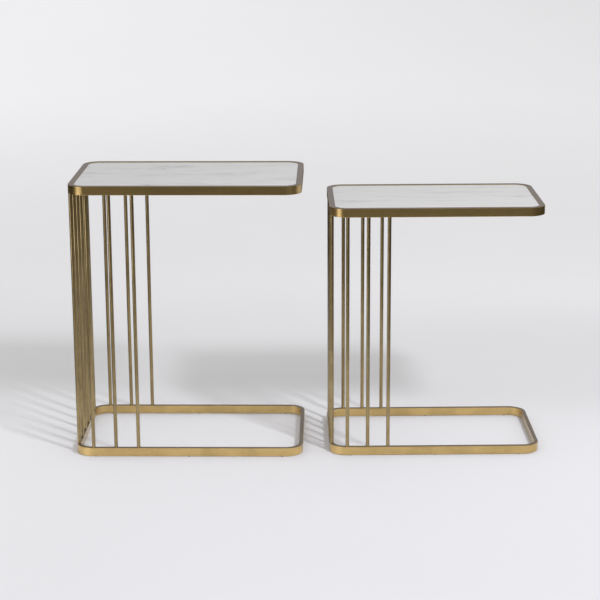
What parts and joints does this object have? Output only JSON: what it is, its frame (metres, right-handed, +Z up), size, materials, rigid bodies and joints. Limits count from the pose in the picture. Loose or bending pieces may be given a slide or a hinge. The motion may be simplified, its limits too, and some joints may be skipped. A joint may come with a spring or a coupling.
{
  "type": "nesting tables",
  "caption": "Pair of rod-sided nesting side tables, open at one end, with stone slabs set in bar frames over floor rings.",
  "frame": {"origin": "on the floor, at the centre of the pair's bounding box", "axes": "+Z up; +X along the row of two tables from the large one to the small one, towards their open ends; +Y from the front to the back"},
  "size_m": [1.033, 0.315, 0.61],
  "materials": {
    "antique_brass": "brushed, aged, satin",
    "white_marble": "honed, soft grey veins",
    "ledge_paint": "satin dark bronze",
    "cushion_rubber": "matte",
    "glide_plastic": "matte"
  },
  "bodies": {
    "large_table": {"large_base_ring": "antique_brass", "large_top_frame": "antique_brass", "large_slab_ledge": "ledge_paint", "large_slab_cushions": "cushion_rubber", "large_floor_glides": "glide_plastic", "large_front_rod_1": "antique_brass", "large_front_rod_2": "antique_brass", "large_front_rod_3": "antique_brass", "large_back_rod_1": "antique_brass", "large_back_rod_2": "antique_brass", "large_back_rod_3": "antique_brass", "large_end_rod_1": "antique_brass", "large_end_rod_2": "antique_brass", "large_end_rod_3": "antique_brass", "large_end_rod_4": "antique_brass", "large_end_rod_5": "antique_brass", "large_end_rod_6": "antique_brass"},
    "large_slab": {"large_marble_slab": "white_marble"},
    "small_table": {"small_base_ring": "antique_brass", "small_top_frame": "antique_brass", "small_slab_ledge": "ledge_paint", "small_slab_cushions": "cushion_rubber", "small_floor_glides": "glide_plastic", "small_front_rod_1": "antique_brass", "small_front_rod_2": "antique_brass", "small_front_rod_3": "antique_brass", "small_back_rod_1": "antique_brass", "small_back_rod_2": "antique_brass", "small_back_rod_3": "antique_brass", "small_end_rod_1": "antique_brass", "small_end_rod_2": "antique_brass", "small_end_rod_3": "antique_brass", "small_end_rod_4": "antique_brass", "small_end_rod_5": "antique_brass", "small_end_rod_6": "antique_brass"},
    "small_slab": {"small_marble_slab": "white_marble"}
  },
  "joints": [
    {"name": "large_slab_lift", "type": "slide", "parent": "large_table", "child": "large_slab", "axis": [0, 0, 1], "range_m": [0, 0.05]},
    {"name": "small_table_slide", "type": "slide", "parent": "large_table", "child": "small_table", "axis": [1, 0, 0], "range_m": [-0.05, 0.3]},
    {"name": "small_slab_lift", "type": "slide", "parent": "small_table", "child": "small_slab", "axis": [0, 0, 1], "range_m": [0, 0.05]}
  ]
}
